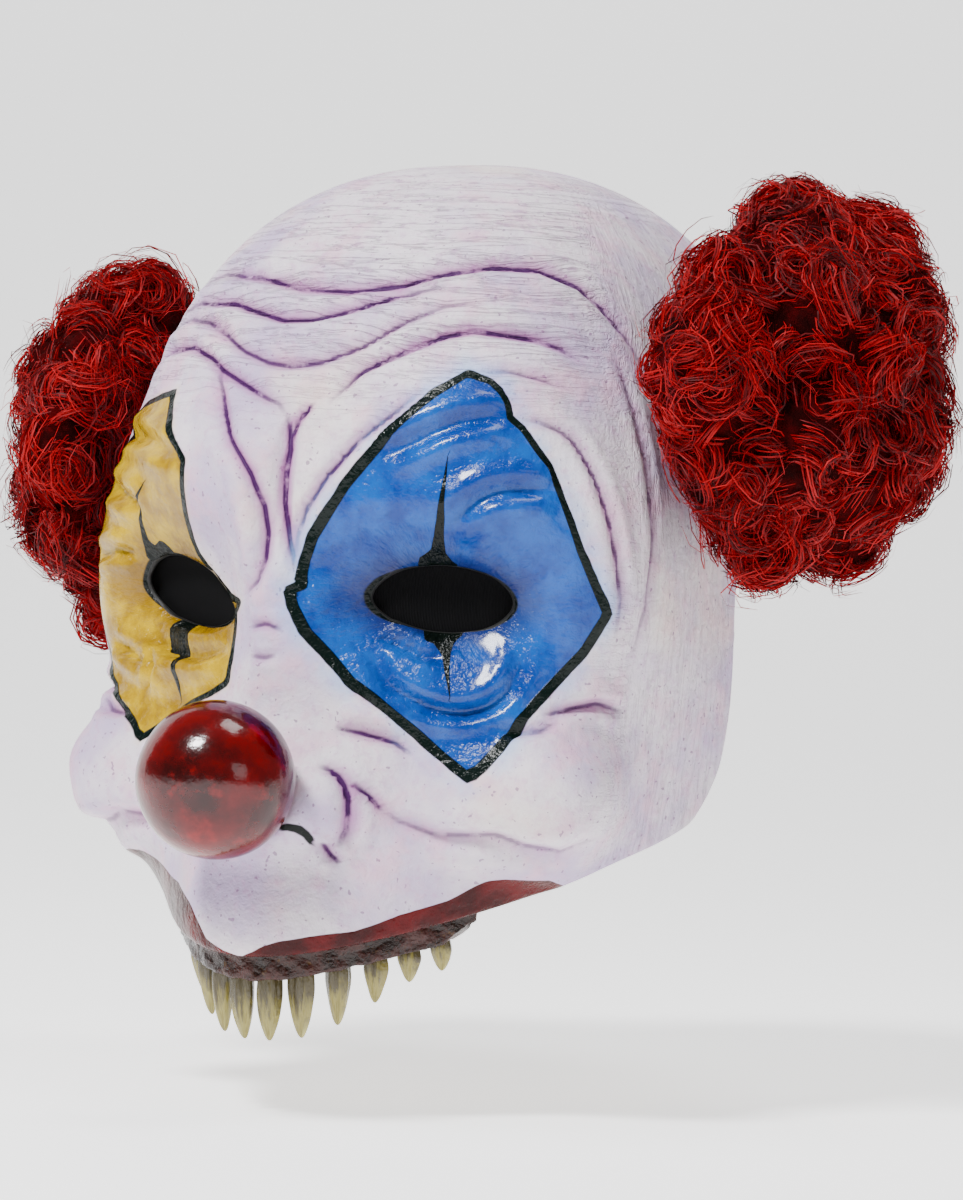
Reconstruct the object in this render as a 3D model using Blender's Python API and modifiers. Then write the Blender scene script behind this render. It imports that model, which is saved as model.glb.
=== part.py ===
"""Clown half mask of cast latex, worn over the crown and down to the upper lip.

Head frame: +Z up, the face looks along -Y, and the wearer's left is +X. Heights are
measured from eye level and depths from the ear line. The finished assembly is moved by
SEAT, so the origin is the crown seat: the inside top of the dome, where the mask sits on
a head.
"""

import math

import bmesh
import bpy
from mathutils import Vector
from mathutils.bvhtree import BVHTree

MM = 0.001

# Head form: half axes of a rounded block about the head axis.
HALF_WIDTH = 82 * MM
FACE_REACH = 112 * MM
BACK_REACH = 87 * MM
CROWN_RISE = 128 * MM
JAW_FALL = 130 * MM
AXIS_BACK = 24 * MM
AXIS_FALL = 10 * MM
FACE_SQUARE = 2.9
JAW_SQUARE = 2.0
BACK_SQUARE = 2.45
CROWN_SQUARE = 2.42
FALL_SQUARE = 2.5

# Latex skin.
WALL = 2.4 * MM
FACE_DROP = 90 * MM
RELIEF = 10 * MM
GRID_COLUMNS = 40
GRID_ROWS = 44
ROW_TURN = 2.6

# Eye holes.
EYE_OUT = 36 * MM
EYE_WIDTH = 33 * MM
EYE_RISE = 8 * MM
EYE_SAG = 6.5 * MM
EYE_POINT = 1.2
EYE_BLOCK_COLUMNS = 8
EYE_BLOCK_ROWS = 6

# Round nose.
NOSE_RADIUS = 19.8 * MM
NOSE_SUNK = 8.6 * MM
NOSE_BELOW = 45.8 * MM
NOSE_GAP = 1.1 * MM

# Gum and teeth.
GUM_THICK = 8.5 * MM
GUM_SHOWS = 5.5 * MM
GUM_GAP = 0.9 * MM
GUM_SPREAD = 0.48
GUM_STEPS = 18
TOOTH_LENGTH = 16 * MM
TOOTH_WIDTH = 6.6 * MM
TOOTH_DEPTH = 5.4 * MM
TOOTH_ROOT = 3 * MM
ROOT_BROAD = 0.8
TOOTH_SIDES = 7
SEAT_GAP = 0.3 * MM

# Hair tufts.
TUFT_REACH = 50 * MM
TUFT_HEIGHT = 53 * MM
TUFT_GAP = 0.6 * MM

AXIS = Vector((0, AXIS_BACK, -AXIS_FALL))
SEAT = AXIS + Vector((0, 0, CROWN_RISE - WALL))

# Relief of the face. side: 0 middle, 1 wearer's left, -1 right, 2 both. turn and wide are
# degrees round the head axis, up and tall are shares of FACE_DROP from eye level, tilt is in
# degrees, and out, ahead and lift are shares of RELIEF. A higher edge gives a flatter top.
BUMPS = (
    # name, side, turn, up, wide, tall, tilt, edge, out, ahead, lift
    ("muzzle", 0, 0, -1.00, 25, 0.36, 0, 1.1, 0.0, 2.7, 0.0),
    ("cheek", 2, 36, -0.56, 12.5, 0.21, 0, 1.35, 1.75, 1.1, 0.0),
    ("temple", 2, 42, 0.08, 14, 0.30, 0, 1.2, 0.4, 0.3, 0.0),
    ("under_cheek", 2, 50, -0.80, 18, 0.18, 0, 1.0, -0.3, 0.0, 0.0),
    ("brow_left", 1, 25, 0.44, 16, 0.20, 12, 1.0, 0.1, 0.2, 0.0),
    ("lid_left", 1, 22, 0.22, 13, 0.11, 8, 1.1, 0.0, 0.5, 0.0),
    ("brow_right", -1, 14, 0.34, 13, 0.18, 25, 1.1, 0.1, 0.5, 0.0),
    ("brow_fold", -1, 5.5, 0.25, 4.2, 0.28, 0, 1.4, 0.0, 0.5, 0.0),
    ("eye_socket", 2, 21, -0.03, 14, 0.27, 0, 1.0, -0.2, -1.7, 0.0),
    ("eye_bag", 2, 22, -0.21, 11, 0.09, 0, 1.1, 0.1, 0.4, 0.0),
    ("nose_bridge", 0, 0, -0.16, 6, 0.38, 0, 1.2, 0.0, 0.7, 0.0),
    ("nose_body", 0, 0, -0.54, 11, 0.16, 0, 1.8, 0.0, 1.2, 0.0),
    ("nose_wing", 2, 9.5, -0.58, 4.5, 0.10, 0, 1.5, 0.2, 0.5, 0.0),
)

# Folds, each a groove along an arc. side 2 stands for both; turn and up as above at both ends,
# sag is the arc's rise as a share of FACE_DROP, wide and deep are shares of RELIEF.
FOLDS = (
    # name, side, turn, up, to_turn, to_up, sag, wide, deep
    ("forehead_top", 1, -32, 0.93, 27, 0.95, -0.08, 0.45, 0.18),
    ("forehead_high", 1, -34, 0.85, 22, 0.88, -0.08, 0.45, 0.20),
    ("forehead_low", 1, -37, 0.78, 25, 0.83, -0.15, 0.50, 0.24),
    ("forehead_left", 1, 5, 0.57, 44, 0.66, 0.13, 0.50, 0.22),
    ("forehead_right", 1, -40, 0.70, -3, 0.49, 0.04, 0.50, 0.22),
    ("frown", 1, -2, 0.55, 3.5, 0.06, -0.02, 0.40, 0.30),
    ("cheek_crease", 2, 15, -0.62, 44, -0.74, -0.04, 0.75, 0.20),
    ("smile_crease", 2, 9, -0.36, 20, -0.46, 0.03, 0.40, 0.20),
    ("bag_crease", 2, 12, -0.27, 34, -0.17, -0.12, 0.70, 0.12),
)

# The eye holes: side, middle out as a share of EYE_OUT and up of FACE_DROP, width, rise and sag
# as shares of the named sizes, tilt in degrees, which lowers the inner end, and droop, the share
# of its rise that the top edge loses at the inner end and gains at the outer.
EYES = (
    # side, out, up, wide, rise, sag, tilt, droop
    (1, 1.00, 0.00, 0.97, 1.00, 1.10, 0, 0.0),
    (-1, 1.01, -0.015, 1.05, 1.00, 1.00, 12, 0.5),
)

# Stations from the lip edge over the face and crown to the back rim. rows is the share of the
# grid's rows, climb the middle line's angle above level, bow how many degrees the row bends up
# halfway out, and the rest the rim point at the side: out as a share of HALF_WIDTH, ahead of
# FACE_REACH, and up of FACE_DROP.
STATIONS = (
    # name, rows, climb, bow, out, ahead, up
    ("lip_edge", 0.00, -39.5, 3.2, 0.930, 0.03, -0.60),
    ("upper_lip", 0.09, -31, 0, 0.965, -0.04, -0.46),
    ("nose_base", 0.19, -20, 0, 0.990, -0.06, -0.33),
    ("nose", 0.30, -7, 0, 1.000, -0.067, -0.21),
    ("eye", 0.42, 6, 0, 1.000, -0.067, -0.09),
    ("brow", 0.53, 20, 0, 1.000, -0.067, 0.04),
    ("forehead", 0.64, 35, 0, 0.995, -0.09, 0.17),
    ("hairline", 0.76, 54, 0, 0.980, -0.13, 0.32),
    ("crown", 0.88, 88, 0, 0.900, -0.29, 0.50),
    ("back_rim", 1.00, 149, 0, 0.700, -0.60, 0.49),
)

# Teeth on one side, from the middle out: place as a share of the gum's half length, length and
# width as shares of TOOTH_LENGTH and TOOTH_WIDTH, lean in degrees away from the middle.
TEETH = (
    # place, length, width, lean
    (0.10, 1.00, 1.00, 0),
    (0.30, 1.02, 1.00, 2),
    (0.475, 0.93, 0.96, 3),
    (0.63, 0.70, 0.90, 4),
    (0.765, 0.50, 0.86, 5),
    (0.89, 0.46, 0.84, 6),
)

# A tooth's sections from the root down: how far along its length, and how broad.
TOOTH_SECTIONS = (
    # along, broad
    (0.00, 0.86),
    (0.22, 1.00),
    (0.58, 0.78),
    (0.85, 0.40),
)

# The two tufts: where the middle stands as shares of HALF_WIDTH, FACE_REACH and CROWN_RISE,
# and how far the curls stand out as a share of TUFT_REACH.
TUFTS = (
    # name, side, out, ahead, up, reach
    ("hair_tuft_left", 1, 1.20, 0.12, 0.455, 0.86),
    ("hair_tuft_right", -1, 1.10, 0.02, 0.30, 0.66),
)

# Lobes of a tuft's curls, as shares of the tuft's half sizes from its middle.
LOBES = (
    # out, ahead, up, radius
    (0.00, 0.00, 0.00, 0.66),
    (0.10, 0.00, 0.64, 0.36),
    (0.45, -0.30, 0.58, 0.32),
    (0.66, -0.10, 0.36, 0.34),
    (0.68, 0.20, 0.10, 0.34),
    (0.70, -0.12, -0.10, 0.34),
    (0.62, 0.10, -0.38, 0.32),
    (0.35, -0.25, -0.62, 0.32),
    (0.10, 0.22, -0.68, 0.32),
    (0.30, 0.30, 0.56, 0.32),
    (0.05, 0.60, 0.34, 0.34),
    (0.02, 0.78, 0.02, 0.38),
    (0.05, 0.58, -0.38, 0.34),
    (0.05, -0.60, 0.36, 0.36),
    (0.25, -0.66, 0.00, 0.34),
    (0.10, -0.60, -0.38, 0.34),
    (0.50, 0.48, 0.30, 0.32),
    (0.48, 0.46, -0.28, 0.32),
    (0.48, -0.50, 0.24, 0.32),
    (0.50, -0.46, -0.30, 0.32),
)


def clear_scene():
    """Start from an empty file, whatever was open."""
    for old in list(bpy.data.objects):
        bpy.data.objects.remove(old)


def collection(name):
    """A collection of that name, linked to the scene."""
    made = bpy.data.collections.new(name)
    bpy.context.scene.collection.children.link(made)
    return made


def material(name, colour, roughness):
    """A plain finish for one piece."""
    made = bpy.data.materials.new(name)
    made.use_nodes = True
    shader = made.node_tree.nodes["Principled BSDF"]
    shader.inputs["Base Color"].default_value = (*colour, 1)
    shader.inputs["Roughness"].default_value = roughness
    shader.inputs["Metallic"].default_value = 0
    return made


def add_mesh(name, bm, group, finish):
    """Store a bmesh, shaded smooth, as a named piece with the crown seat at the origin."""
    bmesh.ops.translate(bm, verts=bm.verts, vec=-SEAT)
    for face in bm.faces:
        face.smooth = True
    mesh = bpy.data.meshes.new(name)
    bm.to_mesh(mesh)
    bm.free()
    mesh.materials.append(finish)
    piece = bpy.data.objects.new(name, mesh)
    group.objects.link(piece)
    return piece


def station_value(share, column):
    """A column of STATIONS at a share of the rows, on a smooth curve through the table."""
    keys = [row[1] for row in STATIONS]
    values = [row[column] for row in STATIONS]
    last = len(keys) - 1
    low = next((k for k in range(last) if share <= keys[k + 1]), last - 1)

    def slope(k):
        before, after = max(k - 1, 0), min(k + 1, last)
        return (values[after] - values[before]) / (keys[after] - keys[before])

    span = keys[low + 1] - keys[low]
    part = (share - keys[low]) / span
    start, end = slope(low) * span, slope(low + 1) * span
    rise = values[low + 1] - values[low]
    square, cube = part**2, part**3
    easing = rise * (3 * square - 2 * cube)
    return values[low] + easing + start * (cube - 2 * square + part) + end * (cube - square)


def head_radius(way):
    """Distance from the head axis to the plain head form along a direction."""
    reach = FACE_REACH if way.y < 0 else BACK_REACH
    rise = CROWN_RISE if way.z > 0 else JAW_FALL
    upright = CROWN_SQUARE if way.z > 0 else FALL_SQUARE
    square = BACK_SQUARE
    if way.y < 0:
        down = min(max((0.1 - way.z) / 0.55, 0), 1)
        square = FACE_SQUARE + (JAW_SQUARE - FACE_SQUARE) * down * down * (3 - 2 * down)
    plan = (abs(way.x) / HALF_WIDTH) ** square + (abs(way.y) / reach) ** square
    whole = plan ** (upright / square) + (abs(way.z) / rise) ** upright
    return whole ** (-1 / upright)


def relief(turn, up):
    """Sideways, forward and upward swell of the face at a turn and height, and fold depth."""
    swell = Vector((0, 0, 0))
    for _, side, at_turn, at_up, wide, tall, tilt, edge, out, ahead, lift in BUMPS:
        for hand in (1, -1) if side == 2 else (side,):
            across = (turn - at_turn * hand) / wide
            above = (up - at_up) / tall
            lean = math.radians(tilt) * hand
            along = across * math.cos(lean) + above * math.sin(lean)
            cross = above * math.cos(lean) - across * math.sin(lean)
            share = math.exp(-((along**2 + cross**2) ** edge))
            swell += share * RELIEF * Vector((out * hand, -ahead, lift))
    deepest = 0
    for _, side, at_turn, at_up, to_turn, to_up, sag, wide, deep in FOLDS:
        for hand in (1, -1) if side == 2 else (1,):
            start = Vector((math.radians(at_turn * hand) * FACE_REACH, at_up * FACE_DROP))
            end = Vector((math.radians(to_turn * hand) * FACE_REACH, to_up * FACE_DROP))
            here = Vector((math.radians(turn) * FACE_REACH, up * FACE_DROP)) - start
            run = end - start
            share = here.dot(run) / run.length_squared
            if 0 < share < 1:
                aside = hand * run.cross(here) / run.length - sag * FACE_DROP * 4 * share * (1 - share)
                fade = 1 - (2 * share - 1) ** 4
                groove = fade * deep * RELIEF * math.exp(-((aside / (wide * RELIEF)) ** 2))
                deepest = max(deepest, groove)
    return swell, deepest


def skin_point(climb, swing):
    """Outer skin point at an angle above level and an angle to the side, in radians."""
    way = Vector(
        (
            math.sin(swing),
            -math.cos(swing) * math.cos(climb),
            math.cos(swing) * math.sin(climb),
        )
    )
    plain = AXIS + way * head_radius(way)
    turn = math.degrees(math.atan2(plain.x, AXIS_BACK - plain.y))
    swell, groove = relief(turn, plain.z / FACE_DROP)
    return plain + swell - way * groove


def grid_angles(row, across):
    """Angles above level and to the side at a row, from -1 on the right rim to 1 on the left."""
    share = row / GRID_ROWS
    rim = Vector(
        (
            station_value(share, 4) * HALF_WIDTH,
            -station_value(share, 5) * FACE_REACH,
            station_value(share, 6) * FACE_DROP,
        )
    )
    way = (rim - AXIS).normalized()
    rim_swing = math.asin(way.x)
    rim_climb = math.atan2(way.z, -way.y)
    climb = math.radians(station_value(share, 2))
    bow = math.radians(station_value(share, 3)) * 4 * across**2 * (1 - across**2)
    spread = across * (0.86 + 0.14 * across**2)
    return climb + (rim_climb - climb) * abs(across) ** ROW_TURN + bow, rim_swing * spread


def column_across(column):
    """A grid column's place from -1 on the right rim to 1 on the left."""
    return 2 * column / GRID_COLUMNS - 1


def skin_at(x, z, angles):
    """Outer skin point at a given distance out and height, searched from near angles."""
    climb, swing = angles
    for _ in range(12):
        point = skin_point(climb, swing)
        reach = (point - AXIS).length
        swing += (x - point.x) / reach
        climb += (z - point.z) / reach
    return skin_point(climb, swing)


def hole_point(eye, x, z):
    """The point of an eye hole's edge that lies towards a given distance out and height."""
    side, out, up, wide, rise, sag, tilt, droop = eye
    half = wide * EYE_WIDTH / 2
    lean = math.radians(tilt)
    aside = side * x - out * EYE_OUT
    above = z - up * FACE_DROP
    local = Vector(
        (
            aside * math.cos(lean) + above * math.sin(lean),
            above * math.cos(lean) - aside * math.sin(lean),
        )
    )
    deep = rise * EYE_RISE if local.y > 0 else sag * EYE_SAG
    angle = math.atan2(local.y / deep, local.x / half)
    edge = Vector((half * math.cos(angle), deep * abs(math.sin(angle)) ** EYE_POINT))
    edge.y *= 1 + droop * math.cos(angle) if angle > 0 else -1
    out_by = edge.x * math.cos(lean) - edge.y * math.sin(lean)
    up_by = edge.x * math.sin(lean) + edge.y * math.cos(lean)
    return side * (out * EYE_OUT + out_by), up * FACE_DROP + up_by


def block_ring(row, column):
    """Grid crossings round an eye's block of cells, in order round it."""
    rows, columns = EYE_BLOCK_ROWS, EYE_BLOCK_COLUMNS
    ring = [(row, column + k) for k in range(columns)]
    ring += [(row + k, column + columns) for k in range(rows)]
    ring += [(row + rows, column + columns - k) for k in range(columns)]
    ring += [(row + rows - k, column) for k in range(rows)]
    return ring


def eye_block(eye, crossings):
    """First row and column of the block of grid cells round an eye."""
    middle = Vector((eye[0] * eye[1] * EYE_OUT, eye[2] * FACE_DROP))
    front = [key for key, vert in crossings.items() if vert.co.y < 0]
    row, column = min(front, key=lambda key: (crossings[key].co.xz - middle).length)
    return row - EYE_BLOCK_ROWS // 2, column - EYE_BLOCK_COLUMNS // 2


def skin_sheet():
    """The outer skin as one sheet of quads, open at the rim and the two eye holes."""
    bm = bmesh.new()
    crossings = {}
    for row in range(GRID_ROWS + 1):
        for column in range(GRID_COLUMNS + 1):
            point = skin_point(*grid_angles(row, column_across(column)))
            crossings[row, column] = bm.verts.new(point)
    gone = set()
    for eye in EYES:
        row, column = eye_block(eye, crossings)
        for down in range(EYE_BLOCK_ROWS):
            gone.update((row + down, column + k) for k in range(EYE_BLOCK_COLUMNS))
        outer, middle, inner = [], [], []
        for key in block_ring(row, column):
            vert = crossings[key]
            x, z = vert.co.xz
            hole_x, hole_z = hole_point(eye, x, z)
            angles = grid_angles(key[0], column_across(key[1]))
            outer.append(vert)
            middle.append(bm.verts.new(skin_at((x + hole_x) / 2, (z + hole_z) / 2, angles)))
            inner.append(bm.verts.new(skin_at(hole_x, hole_z, angles)))
        for far, near in ((outer, middle), (middle, inner)):
            for k in range(len(outer)):
                bm.faces.new((far[k - 1], far[k], near[k], near[k - 1]))
    for row in range(GRID_ROWS):
        for column in range(GRID_COLUMNS):
            if (row, column) not in gone:
                corners = ((0, 0), (0, 1), (1, 1), (1, 0))
                bm.faces.new([crossings[row + r, column + c] for r, c in corners])
    loose = [vert for vert in bm.verts if not vert.link_faces]
    bmesh.ops.delete(bm, geom=loose, context="VERTS")
    bmesh.ops.recalc_face_normals(bm, faces=bm.faces)
    return bm


def nose_centre():
    """Middle of the round nose, which sinks a little into the skin in front."""
    climb = (AXIS_FALL - NOSE_BELOW) / FACE_REACH
    front = skin_at(0, -NOSE_BELOW, (climb, 0))
    return Vector((0, front.y - NOSE_RADIUS + NOSE_SUNK, -NOSE_BELOW))


def seat_nose(bm):
    """Press the sheet back to a dish that the round nose sits in."""
    ball = nose_centre()
    dish = NOSE_RADIUS + NOSE_GAP
    for vert in bm.verts:
        away = vert.co - ball
        if away.length < dish:
            vert.co = ball + away.normalized() * dish


def outward(bm):
    """Turn every face away from the head axis."""
    bm.faces.ensure_lookup_table()
    face = bm.faces[0]
    if face.normal.dot(face.calc_center_median() - AXIS) < 0:
        bmesh.ops.reverse_faces(bm, faces=bm.faces)


def build_shell(group, finish):
    """The latex skin with its wall thickness laid inwards."""
    bm = skin_sheet()
    seat_nose(bm)
    bm.normal_update()
    outward(bm)
    piece = add_mesh("mask_shell", bm, group, finish)
    wall = piece.modifiers.new("wall", "SOLIDIFY")
    wall.thickness = WALL
    wall.offset = -1
    return piece


def evaluated_tree(piece):
    """A search tree of a finished piece."""
    bpy.context.view_layer.update()
    graph = bpy.context.evaluated_depsgraph_get()
    return BVHTree.FromObject(piece, graph)


def build_nose(group, finish):
    """The round nose."""
    bm = bmesh.new()
    bmesh.ops.create_uvsphere(bm, u_segments=18, v_segments=12, radius=NOSE_RADIUS)
    turn = Vector((0, 0, 1)).rotation_difference(Vector((0, -1, 0))).to_matrix()
    bmesh.ops.transform(bm, matrix=turn.to_4x4(), verts=bm.verts)
    bmesh.ops.translate(bm, vec=nose_centre(), verts=bm.verts)
    return add_mesh("nose_ball", bm, group, finish)


def gum_frame(place):
    """Lip edge, inward direction and skin point above the edge, at a share of the gum's half length."""
    across = place * GUM_SPREAD
    edge = skin_point(*grid_angles(0, across))
    above = skin_point(*grid_angles(1, across))
    step = 0.01
    run = skin_point(*grid_angles(0, across + step)) - skin_point(*grid_angles(0, across - step))
    inward = Vector((-run.y, run.x, 0)).normalized()
    return edge, inward, above


def build_gum(group, cutters, finish):
    """The gum behind and below the lip, with a socket for each tooth."""
    bm = bmesh.new()
    sections = []
    for step in range(GUM_STEPS + 1):
        edge, inward, above = gum_frame(2 * step / GUM_STEPS - 1)
        front = edge + inward * (WALL + GUM_GAP)
        back = edge + inward * (WALL + GUM_GAP + GUM_THICK)
        top = front + inward * (above - edge).dot(inward)
        top.z = above.z
        foot = edge.z - GUM_SHOWS
        corners = (
            Vector((front.x, front.y, foot)),
            front,
            top,
            Vector((back.x, back.y, top.z)),
            Vector((back.x, back.y, foot)),
        )
        sections.append([bm.verts.new(corner) for corner in corners])
    for first, second in zip(sections, sections[1:]):
        for k in range(len(first)):
            bm.faces.new((first[k - 1], first[k], second[k], second[k - 1]))
    bm.faces.new(sections[0])
    bm.faces.new(sections[-1][::-1])
    bmesh.ops.triangulate(bm, faces=bm.faces)
    bmesh.ops.recalc_face_normals(bm, faces=bm.faces)
    gum = add_mesh("upper_gum", bm, group, finish)
    sockets = bmesh.new()
    for hand in (1, -1):
        for row in TEETH:
            spine, across, deep = tooth_spine(row, hand, SEAT_GAP)
            rings = [tooth_ring(sockets, spine, across, deep, k, SEAT_GAP) for k in (0, 1, 2)]
            close_rings(sockets, rings)
    bmesh.ops.recalc_face_normals(sockets, faces=sockets.faces)
    cutter = add_mesh("tooth_sockets", sockets, cutters, finish)
    cutter.hide_render = True
    cutter.display_type = "WIRE"
    cut = gum.modifiers.new("sockets", "BOOLEAN")
    cut.operation = "DIFFERENCE"
    cut.solver = "EXACT"
    cut.object = cutter
    return gum


def tooth_spine(row, hand, spare):
    """Points down a tooth with the breadth at each, its sideways direction and its depth direction."""
    place, length, width, lean = row
    edge, inward, _ = gum_frame(hand * place)
    across = Vector((-inward.y, inward.x, 0))
    foot = edge + inward * (WALL + GUM_GAP + GUM_THICK / 2)
    foot.z = edge.z - GUM_SHOWS
    slant = math.tan(math.radians(lean))
    down = Vector((0, 0, -1)) + across * (slant * (1 if across.x * hand > 0 else -1))
    down.normalize()
    spine = [(foot - down * (TOOTH_ROOT + spare), width * ROOT_BROAD)]
    reach = length * TOOTH_LENGTH
    for along, broad in TOOTH_SECTIONS:
        bend = inward * (0.10 * reach * along**2)
        spine.append((foot + down * (reach * along) + bend, width * broad))
    spine.append((foot + down * reach + inward * (0.10 * reach), 0))
    return spine, across, inward


def tooth_ring(bm, spine, across, deep, k, spare):
    """A ring of corners round one point of a tooth's spine."""
    middle, broad = spine[k]
    if spare and k:
        middle = middle + (middle - spine[0][0]).normalized() * spare
    ring = []
    for side in range(TOOTH_SIDES):
        angle = math.tau * side / TOOTH_SIDES
        wide = math.cos(angle) * (broad * TOOTH_WIDTH / 2 + spare)
        thick = math.sin(angle) * (broad * TOOTH_DEPTH / 2 + spare)
        ring.append(bm.verts.new(middle + across * wide + deep * thick))
    return ring


def close_rings(bm, rings):
    """Join a stack of rings into a closed tube."""
    for first, second in zip(rings, rings[1:]):
        for k in range(len(first)):
            bm.faces.new((first[k - 1], first[k], second[k], second[k - 1]))
    bm.faces.new(rings[0])
    bm.faces.new(rings[-1][::-1])


def build_tooth(name, row, hand, group, finish):
    """One pointed tooth with its root inside the gum."""
    bm = bmesh.new()
    spine, across, deep = tooth_spine(row, hand, 0)
    rings = [tooth_ring(bm, spine, across, deep, k, 0) for k in range(len(spine) - 1)]
    for first, second in zip(rings, rings[1:]):
        for k in range(TOOTH_SIDES):
            bm.faces.new((first[k - 1], first[k], second[k], second[k - 1]))
    tip = bm.verts.new(spine[-1][0])
    for k in range(TOOTH_SIDES):
        bm.faces.new((rings[-1][k - 1], rings[-1][k], tip))
    bm.faces.new(rings[0])
    bmesh.ops.recalc_face_normals(bm, faces=bm.faces)
    return add_mesh(name, bm, group, finish)


def lobe_reach(way, hand, reach):
    """How far a tuft's curls stand from its middle along a direction."""
    scale = (TUFT_REACH * reach, TUFT_REACH, TUFT_HEIGHT)
    ray = Vector([way[k] / scale[k] for k in range(3)])
    far = 0
    for out, ahead, up, radius in LOBES:
        middle = Vector((out * hand, -ahead, up))
        along = ray.dot(middle) / ray.length_squared
        under = along**2 - (middle.length_squared - radius**2) / ray.length_squared
        if under >= 0:
            far = max(far, along + math.sqrt(under))
    return far


def form_reach(middle, way, far):
    """How far along a direction a curl goes before it meets the plain head form."""
    low, high = 0, far
    for _ in range(14):
        half = (low + high) / 2
        away = middle + way * half - AXIS
        if away.length > head_radius(away.normalized()) + TUFT_GAP:
            low = half
        else:
            high = half
    return low


def build_tuft(row, tree, group, finish):
    """A tuft of fused curls, its inner side following the skin at TUFT_GAP."""
    name, hand, out, ahead, up, reach = row
    bm = bmesh.new()
    bmesh.ops.create_icosphere(bm, subdivisions=4, radius=1)
    middle = Vector((hand * out * HALF_WIDTH, -ahead * FACE_REACH, up * CROWN_RISE))
    seated = middle - SEAT
    for vert in bm.verts:
        way = vert.co.normalized()
        far = form_reach(middle, way, lobe_reach(way, hand, reach))
        hit, normal, _, distance = tree.ray_cast(seated, way)
        if hit is not None:
            far = min(far, distance - TUFT_GAP / max(abs(normal.dot(way)), 0.3))
        vert.co = middle + way * far
    return add_mesh(name, bm, group, finish)


def main():
    clear_scene()
    group = collection("clown_half_mask")
    cutters = collection("cutters")
    cutters.hide_render = True
    shell = build_shell(group, material("white_latex", (0.86, 0.80, 0.86), 0.45))
    tree = evaluated_tree(shell)
    build_nose(group, material("red_nose", (0.42, 0.01, 0.02), 0.12))
    build_gum(group, cutters, material("dark_gum", (0.10, 0.03, 0.02), 0.35))
    enamel = material("yellow_tooth", (0.62, 0.55, 0.28), 0.3)
    for hand, side in ((1, "left"), (-1, "right")):
        for number, row in enumerate(TEETH, 1):
            build_tooth(f"tooth_{side}_{number}", row, hand, group, enamel)
    hair = material("red_hair", (0.35, 0.01, 0.02), 0.6)
    for row in TUFTS:
        build_tuft(row, tree, group, hair)


main()
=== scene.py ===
# %% [markdown]
# # A clown half mask, dressed
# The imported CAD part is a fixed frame: it says where everything is and how big it is.
# This lesson turns it into a painted latex mask: a smooth skin with wrinkles and paint,
# a glossy nose, a wet gum with stained teeth, and two tufts of curled hair.

# %% Load the frame
import math

import bpy
import numpy as np
from mathutils import Matrix, Vector


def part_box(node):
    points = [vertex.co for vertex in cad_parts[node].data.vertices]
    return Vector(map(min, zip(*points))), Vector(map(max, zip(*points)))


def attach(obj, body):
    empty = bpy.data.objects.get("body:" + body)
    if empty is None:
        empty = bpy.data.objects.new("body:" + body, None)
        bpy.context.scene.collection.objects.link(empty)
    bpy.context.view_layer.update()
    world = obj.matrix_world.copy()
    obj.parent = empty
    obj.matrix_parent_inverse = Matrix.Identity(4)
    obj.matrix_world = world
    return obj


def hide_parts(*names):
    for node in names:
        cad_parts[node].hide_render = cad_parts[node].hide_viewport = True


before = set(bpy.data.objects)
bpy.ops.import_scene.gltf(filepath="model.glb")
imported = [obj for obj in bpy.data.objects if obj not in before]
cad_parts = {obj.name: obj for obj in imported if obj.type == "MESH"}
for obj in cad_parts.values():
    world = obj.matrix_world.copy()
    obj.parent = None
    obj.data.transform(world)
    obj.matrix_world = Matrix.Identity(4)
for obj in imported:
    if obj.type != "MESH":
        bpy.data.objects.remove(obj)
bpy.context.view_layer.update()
for old in ("Cube", "Light", "Camera"):
    if old in bpy.data.objects:
        bpy.data.objects.remove(bpy.data.objects[old])

# %% [markdown]
# ## Measuring on a head
# Paint and wrinkles are easiest to place on a head in two numbers: the turn round the
# head's upright axis, in degrees, and the height above eye level, in millimetres. Every
# table below uses them. ARC makes a turn comparable with a height.

# %% Small helpers
EYE_LEVEL = 115.6  # millimetres from eye level up to the origin
ARC = 1.85  # millimetres of face to one degree of turn
DEPTH = 2.5  # how much deeper the wrinkles are pressed than their table says
DEEPEST = 1.9  # millimetres, a little less than the latex is thick
GROUPS = 4  # sets that the wrinkles are dealt into, so that neighbours are stored apart
MERGE = 1e-5
FLATTEST = math.radians(70)
RNG = np.random.default_rng(7)


def only(piece):
    """Select one piece alone and make it active."""
    bpy.ops.object.select_all(action="DESELECT")
    piece.select_set(True)
    bpy.context.view_layer.objects.active = piece


def apply(piece, kind, **settings):
    """Add a modifier and apply it at once."""
    only(piece)
    modifier = piece.modifiers.new(kind.lower(), kind)
    for name, value in settings.items():
        setattr(modifier, name, value)
    bpy.ops.object.modifier_apply(modifier=modifier.name)


def copy_of(node, name):
    """A merged, evenly turned copy of a CAD node."""
    piece = bpy.data.objects.new(name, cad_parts[node].data.copy())
    bpy.context.scene.collection.objects.link(piece)
    piece.data.materials.clear()
    only(piece)
    bpy.ops.mesh.customdata_custom_splitnormals_clear()
    bpy.ops.object.mode_set(mode="EDIT")
    bpy.ops.mesh.select_all(action="SELECT")
    bpy.ops.mesh.remove_doubles(threshold=MERGE)
    bpy.ops.mesh.normals_make_consistent(inside=False)
    bpy.ops.mesh.tris_convert_to_quads(face_threshold=FLATTEST, shape_threshold=FLATTEST)
    bpy.ops.object.mode_set(mode="OBJECT")
    return piece


def read(items, name, width=3):
    """Read one property of many mesh items as an array."""
    values = np.empty(len(items) * width, np.float32)
    items.foreach_get(name, values)
    return values.reshape(-1, width).astype(float) if width > 1 else values


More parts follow.
